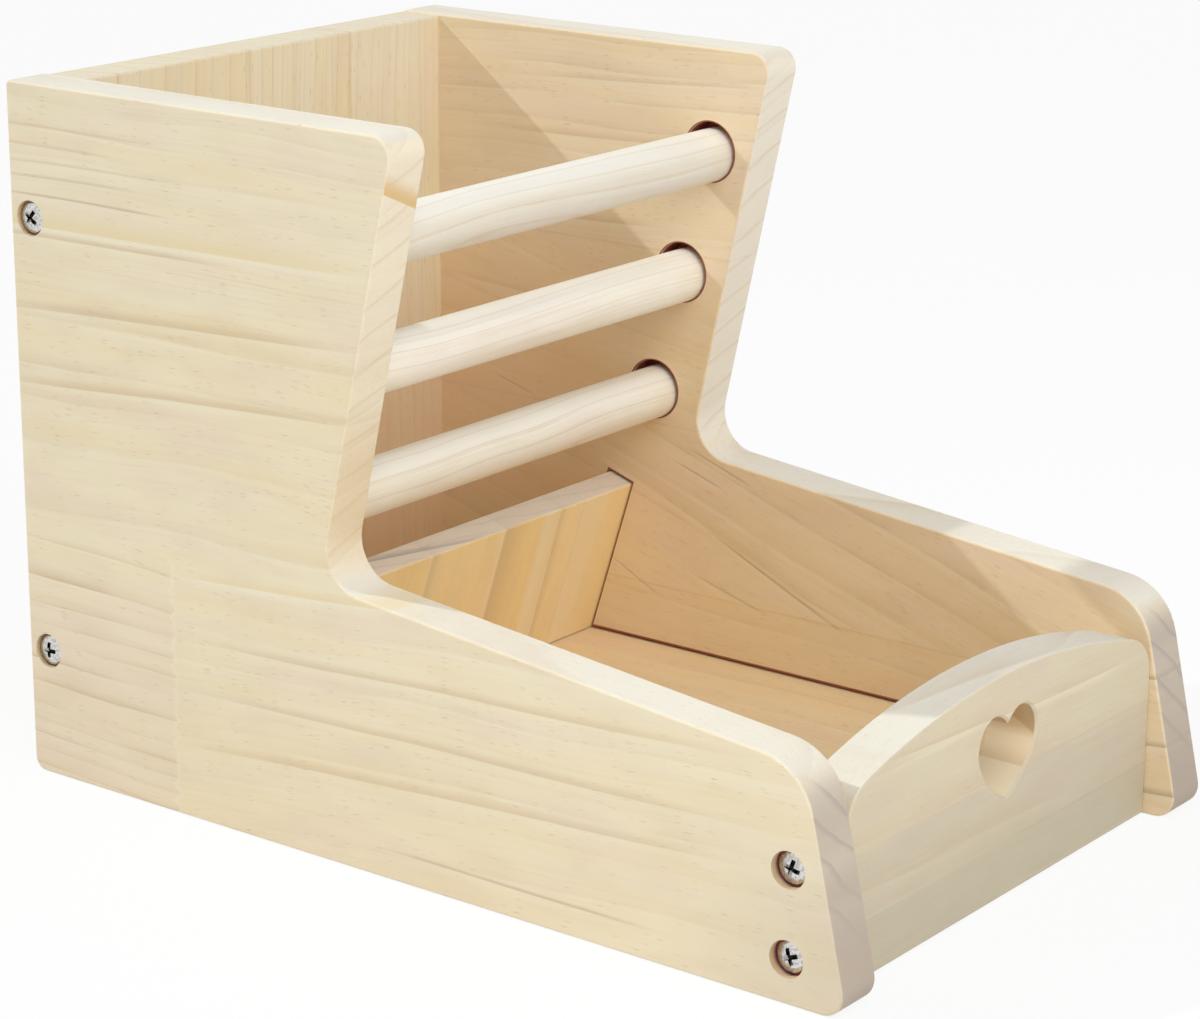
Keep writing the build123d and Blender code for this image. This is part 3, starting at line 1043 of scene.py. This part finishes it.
# Places and lengths in metres, and directions.
FLOOR_DROP = 0.0001  # the floor lies this far under the feeder
LAMP_SIDE = (-0.4, 1.0, 0.76)  # the direction that the lamp shines from
SOFTBOX_PLACE = (-0.28, -0.5, 0.8)
FRONT_SOFTBOX_PLACE = (-0.2, -0.95, 0.4)
SOFTBOX_AIM = (0.0, 0.0, 0.08)
CAMERA_PLACE = (-0.6610146, -0.5015417, 0.3224877)
CAMERA_RIGHT = (0.608169, -0.793796, 0.004406)
CAMERA_UP = (0.224966, 0.177676, 0.958030)
CAMERA_AWAY = (-0.761263, -0.581653, 0.286634)  # from the feeder to the camera
CAMERA_RANGE = (0.01, 50.0)
SENSOR_WIDTH = 36.0  # mm


def aim_from(direction):
    """The turn of a light that shines from a direction."""
    return Vector(direction).to_track_quat("Z", "Y").to_euler()


class FEEDER_OT_stage(bpy.types.Operator):
    """Lay the floor, light the feeder and place the camera"""

    bl_idname = "feeder.stage"
    bl_label = "Floor, light and camera"

    def execute(self, context):
        look = context.scene.feeder_stage
        self.lay_floor(context, look)
        self.fill_sky(context, look)
        self.hang_lights(context, look)
        self.place_camera(context, look)
        context.scene.view_settings.view_transform = "Standard"
        return {"FINISHED"}

    def seen_directly(self, sheet):
        """1 for rays that show the white backdrop, and 0 for the light that falls on things."""
        camera = sheet.node("ShaderNodeLightPath", None, None, "Is Camera Ray")
        glossy, clear = sheet.outputs_of(camera, "Is Glossy Ray", "Is Transmission Ray")
        return camera.math("MAXIMUM", camera.math("MAXIMUM", camera, glossy), clear)

    def lay_floor(self, context, look):
        mesh = bpy.data.meshes.new("floor_sheet")
        made = bmesh.new()
        bmesh.ops.create_grid(
            made, x_segments=FLOOR_CELLS, y_segments=FLOOR_CELLS, size=look.floor_size / 2
        )
        bmesh.ops.translate(made, verts=made.verts, vec=(0.0, 0.0, -FLOOR_DROP))
        made.to_mesh(mesh)
        made.free()
        floor = bpy.data.objects.new("stage_floor", mesh)
        context.scene.collection.objects.link(floor)
        material = bpy.data.materials.new("stage_white")
        sheet = Sheet(material)
        matt = sheet.node("ShaderNodeBsdfDiffuse", None, {"Color": (*look.floor, 1.0)})
        plain = sheet.node("ShaderNodeEmission", None, {"Color": WHITE, "Strength": 1.0})
        share = self.seen_directly(sheet) * look.backdrop
        sheet.finish(sheet.node("ShaderNodeMixShader", None, {0: share, 1: matt, 2: plain}))
        mesh.materials.append(material)

    def fill_sky(self, context, look):
        world = bpy.data.worlds.new("even_light")
        context.scene.world = world
        sheet = Sheet(world)
        lit = sheet.node("ShaderNodeBackground", None, {"Color": WHITE, "Strength": look.sky})
        seen = sheet.node("ShaderNodeBackground", None, {"Color": WHITE, "Strength": 1.0})
        share = self.seen_directly(sheet)
        sheet.finish(sheet.node("ShaderNodeMixShader", None, {0: share, 1: lit, 2: seen}))

    def hang_lights(self, context, look):
        lamp = bpy.data.lights.new("lamp", "SUN")
        lamp.energy = look.lamp
        lamp.color = look.lamp_colour
        lamp.angle = look.lamp_angle
        stand = bpy.data.objects.new("lamp", lamp)
        stand.rotation_euler = aim_from(LAMP_SIDE)
        context.scene.collection.objects.link(stand)
        boxes = {
            "softbox": (look.softbox, Vector(SOFTBOX_PLACE)),
            "front_softbox": (look.front_softbox, Vector(FRONT_SOFTBOX_PLACE)),
        }
        for name, (power, place) in boxes.items():
            soft = bpy.data.lights.new(name, "AREA")
            soft.shape = "SQUARE"
            soft.size = look.softbox_size
            soft.energy = power
            holder = bpy.data.objects.new(name, soft)
            holder.location = place
            holder.rotation_euler = aim_from(place - Vector(SOFTBOX_AIM))
            context.scene.collection.objects.link(holder)

    def place_camera(self, context, look):
        lens = bpy.data.cameras.new("camera")
        lens.lens = look.lens
        lens.sensor_width = SENSOR_WIDTH
        lens.sensor_fit = "HORIZONTAL"
        lens.clip_start, lens.clip_end = CAMERA_RANGE
        camera = bpy.data.objects.new("camera", lens)
        turn = Matrix((CAMERA_RIGHT, CAMERA_UP, CAMERA_AWAY)).transposed().to_4x4()
        camera.matrix_world = Matrix.Translation(CAMERA_PLACE) @ turn
        context.scene.collection.objects.link(camera)
        context.scene.camera = camera


# ---------------------------------------------------------------------------
# The add-on
# ---------------------------------------------------------------------------

PIECES = (
    FEEDER_OT_side_boards,
    FEEDER_OT_end_panels,
    FEEDER_OT_thin_boards,
    FEEDER_OT_rungs,
    FEEDER_OT_screws,
    FEEDER_OT_stage,
)


class FEEDER_PT_sidebar(bpy.types.Panel):
    """Lists the feeder's pieces and their looks"""

    bl_idname = "FEEDER_PT_sidebar"
    bl_label = "Hay feeder"
    bl_space_type = "VIEW_3D"
    bl_region_type = "UI"
    bl_category = "Hay feeder"

    def draw(self, context):
        for name, look in LOOKS.items():
            box = self.layout.box()
            for key in look.__annotations__:
                box.prop(getattr(context.scene, name), key)
        for piece in PIECES:
            self.layout.operator(piece.bl_idname)


def register():
    for one in (*LOOKS.values(), *PIECES, FEEDER_PT_sidebar):
        bpy.utils.register_class(one)
    for name, look in LOOKS.items():
        setattr(bpy.types.Scene, name, PointerProperty(type=look))


def unregister():
    for name in LOOKS:
        delattr(bpy.types.Scene, name)
    for one in reversed((*LOOKS.values(), *PIECES, FEEDER_PT_sidebar)):
        bpy.utils.unregister_class(one)


def main():
    register()
    for piece in PIECES:
        group, action = piece.bl_idname.split(".")
        getattr(getattr(bpy.ops, group), action)()


if __name__ == "__main__":
    main()
